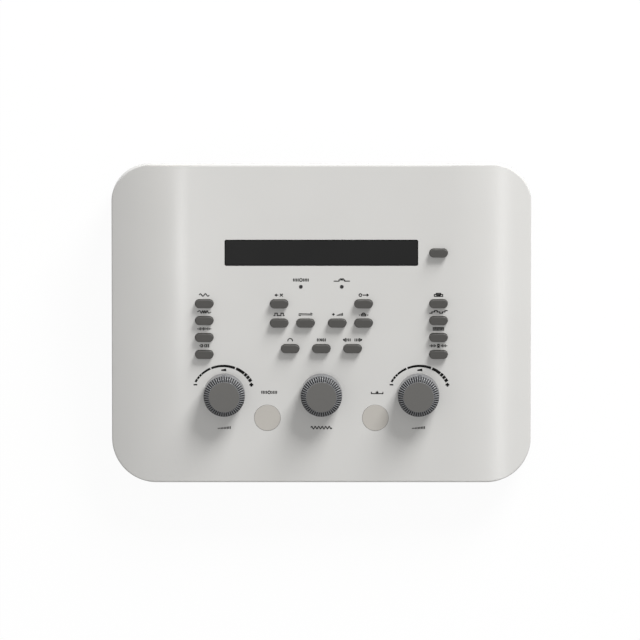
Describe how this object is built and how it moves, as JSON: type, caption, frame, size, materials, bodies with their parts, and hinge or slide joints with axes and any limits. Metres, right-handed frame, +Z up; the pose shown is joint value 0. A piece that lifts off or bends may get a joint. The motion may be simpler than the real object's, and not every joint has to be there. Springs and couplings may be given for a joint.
{
  "type": "audiometer",
  "caption": "Desktop audiometer with a sloping key panel, text display window, endless rotary knobs, flush round buttons and a recessed rear bay of sockets.",
  "frame": {"origin": "on the table, under the middle of the case", "axes": "+X to the user's right, +Y to the rear, +Z up; the user sits at -Y"},
  "size_m": [0.32, 0.243, 0.0787],
  "materials": {
    "light_shell": "fine satin texture",
    "grey_shell": "fine spark texture",
    "socket_plate": "satin powder coat",
    "dark_window": "polished, dark tint",
    "black_steel": "black oxide",
    "cell_glass": "polished",
    "white_diffuser": "milky",
    "circuit_board": "solder mask",
    "zinc_steel": "zinc plated",
    "nickel_nuts": "nickel plated",
    "black_plastic": "moulded",
    "relay_plastic": "moulded",
    "capacitor_sleeve": "shrink sleeve",
    "ribbon_pvc": "flexible pvc",
    "foot_rubber": "soft rubber",
    "key_plastic": "fine satin",
    "button_plastic": "satin",
    "knob_plastic": "satin, machined look",
    "shaft_steel": "ground"
  },
  "bodies": {
    "root": {"top_cover": "light_shell", "bottom_cover": "grey_shell", "socket_plate": "socket_plate", "display_window": "dark_window", "display_frame": "black_steel", "display_glass": "cell_glass", "display_backlight": "white_diffuser", "display_board": "circuit_board", "display_spacers": "white_diffuser", "display_screws": "zinc_steel", "key_board": "circuit_board", "key_switches": "black_plastic", "light_pipes": "dark_window", "lamp_leds": "white_diffuser", "encoder_housings": "zinc_steel", "key_board_screws": "zinc_steel", "main_board": "circuit_board", "processor_chips": "black_plastic", "output_relays": "relay_plastic", "filter_capacitors": "capacitor_sleeve", "main_board_screws": "zinc_steel", "ribbon_headers": "black_plastic", "board_ribbon": "ribbon_pvc", "phone_sockets": "black_plastic", "phone_socket_nuts": "nickel_nuts", "mini_sockets": "black_plastic", "mini_socket_nuts": "nickel_nuts", "usb_socket": "nickel_nuts", "dc_inlet": "black_plastic", "case_screws": "zinc_steel", "rubber_feet": "foot_rubber"},
    "tone_key": {"tone_key": "key_plastic"},
    "warble_key": {"warble_key": "key_plastic"},
    "speech_key": {"speech_key": "key_plastic"},
    "mask_key": {"mask_key": "key_plastic"},
    "print_key": {"print_key": "key_plastic"},
    "step_key": {"step_key": "key_plastic"},
    "options_key": {"options_key": "key_plastic"},
    "talkover_key": {"talkover_key": "key_plastic"},
    "power_key": {"power_key": "key_plastic"},
    "left_ear_key": {"left_ear_key": "key_plastic"},
    "right_ear_key": {"right_ear_key": "key_plastic"},
    "pulse_key": {"pulse_key": "key_plastic"},
    "reverse_key": {"reverse_key": "key_plastic"},
    "boost_key": {"boost_key": "key_plastic"},
    "lock_key": {"lock_key": "key_plastic"},
    "air_key": {"air_key": "key_plastic"},
    "bone_key": {"bone_key": "key_plastic"},
    "field_key": {"field_key": "key_plastic"},
    "present_button": {"present_button": "button_plastic"},
    "store_button": {"store_button": "button_plastic"},
    "left_level_control": {"left_level_knob": "knob_plastic", "left_level_shaft": "shaft_steel"},
    "frequency_control": {"frequency_knob": "knob_plastic", "frequency_shaft": "shaft_steel"},
    "right_level_control": {"right_level_knob": "knob_plastic", "right_level_shaft": "shaft_steel"}
  },
  "joints": [
    {"name": "tone_key_press", "type": "slide", "parent": "root", "child": "tone_key", "axis": [0, 0.1736, -0.9848], "range_m": [0, 0.001], "stiffness_N_per_m": 500, "springref_m": -0.001},
    {"name": "warble_key_press", "type": "slide", "parent": "root", "child": "warble_key", "axis": [0, 0.1736, -0.9848], "range_m": [0, 0.001], "stiffness_N_per_m": 500, "springref_m": -0.001},
    {"name": "speech_key_press", "type": "slide", "parent": "root", "child": "speech_key", "axis": [0, 0.1736, -0.9848], "range_m": [0, 0.001], "stiffness_N_per_m": 500, "springref_m": -0.001},
    {"name": "mask_key_press", "type": "slide", "parent": "root", "child": "mask_key", "axis": [0, 0.1736, -0.9848], "range_m": [0, 0.001], "stiffness_N_per_m": 500, "springref_m": -0.001},
    {"name": "print_key_press", "type": "slide", "parent": "root", "child": "print_key", "axis": [0, 0.1736, -0.9848], "range_m": [0, 0.001], "stiffness_N_per_m": 500, "springref_m": -0.001},
    {"name": "step_key_press", "type": "slide", "parent": "root", "child": "step_key", "axis": [0, 0.1736, -0.9848], "range_m": [0, 0.001], "stiffness_N_per_m": 500, "springref_m": -0.001},
    {"name": "options_key_press", "type": "slide", "parent": "root", "child": "options_key", "axis": [0, 0.1736, -0.9848], "range_m": [0, 0.001], "stiffness_N_per_m": 500, "springref_m": -0.001},
    {"name": "talkover_key_press", "type": "slide", "parent": "root", "child": "talkover_key", "axis": [0, 0.1736, -0.9848], "range_m": [0, 0.001], "stiffness_N_per_m": 500, "springref_m": -0.001},
    {"name": "power_key_press", "type": "slide", "parent": "root", "child": "power_key", "axis": [0, 0.1736, -0.9848], "range_m": [0, 0.001], "stiffness_N_per_m": 500, "springref_m": -0.001},
    {"name": "left_ear_key_press", "type": "slide", "parent": "root", "child": "left_ear_key", "axis": [0, 0.1736, -0.9848], "range_m": [0, 0.001], "stiffness_N_per_m": 500, "springref_m": -0.001},
    {"name": "right_ear_key_press", "type": "slide", "parent": "root", "child": "right_ear_key", "axis": [0, 0.1736, -0.9848], "range_m": [0, 0.001], "stiffness_N_per_m": 500, "springref_m": -0.001},
    {"name": "pulse_key_press", "type": "slide", "parent": "root", "child": "pulse_key", "axis": [0, 0.1736, -0.9848], "range_m": [0, 0.001], "stiffness_N_per_m": 500, "springref_m": -0.001},
    {"name": "reverse_key_press", "type": "slide", "parent": "root", "child": "reverse_key", "axis": [0, 0.1736, -0.9848], "range_m": [0, 0.001], "stiffness_N_per_m": 500, "springref_m": -0.001},
    {"name": "boost_key_press", "type": "slide", "parent": "root", "child": "boost_key", "axis": [0, 0.1736, -0.9848], "range_m": [0, 0.001], "stiffness_N_per_m": 500, "springref_m": -0.001},
    {"name": "lock_key_press", "type": "slide", "parent": "root", "child": "lock_key", "axis": [0, 0.1736, -0.9848], "range_m": [0, 0.001], "stiffness_N_per_m": 500, "springref_m": -0.001},
    {"name": "air_key_press", "type": "slide", "parent": "root", "child": "air_key", "axis": [0, 0.1736, -0.9848], "range_m": [0, 0.001], "stiffness_N_per_m": 500, "springref_m": -0.001},
    {"name": "bone_key_press", "type": "slide", "parent": "root", "child": "bone_key", "axis": [0, 0.1736, -0.9848], "range_m": [0, 0.001], "stiffness_N_per_m": 500, "springref_m": -0.001},
    {"name": "field_key_press", "type": "slide", "parent": "root", "child": "field_key", "axis": [0, 0.1736, -0.9848], "range_m": [0, 0.001], "stiffness_N_per_m": 500, "springref_m": -0.001},
    {"name": "present_button_press", "type": "slide", "parent": "root", "child": "present_button", "axis": [0, 0.1736, -0.9848], "range_m": [0, 0.001], "stiffness_N_per_m": 500, "springref_m": -0.001},
    {"name": "store_button_press", "type": "slide", "parent": "root", "child": "store_button", "axis": [0, 0.1736, -0.9848], "range_m": [0, 0.001], "stiffness_N_per_m": 500, "springref_m": -0.001},
    {"name": "left_level_turn", "type": "hinge", "parent": "root", "child": "left_level_control", "pos_m": [-0.0741, -0.05377, 0.04802], "axis": [0, -0.1736, 0.9848], "continuous": true},
    {"name": "frequency_turn", "type": "hinge", "parent": "root", "child": "frequency_control", "pos_m": [0, -0.05377, 0.04802], "axis": [0, -0.1736, 0.9848], "continuous": true},
    {"name": "right_level_turn", "type": "hinge", "parent": "root", "child": "right_level_control", "pos_m": [0.0741, -0.05377, 0.04802], "axis": [0, -0.1736, 0.9848], "continuous": true}
  ]
}
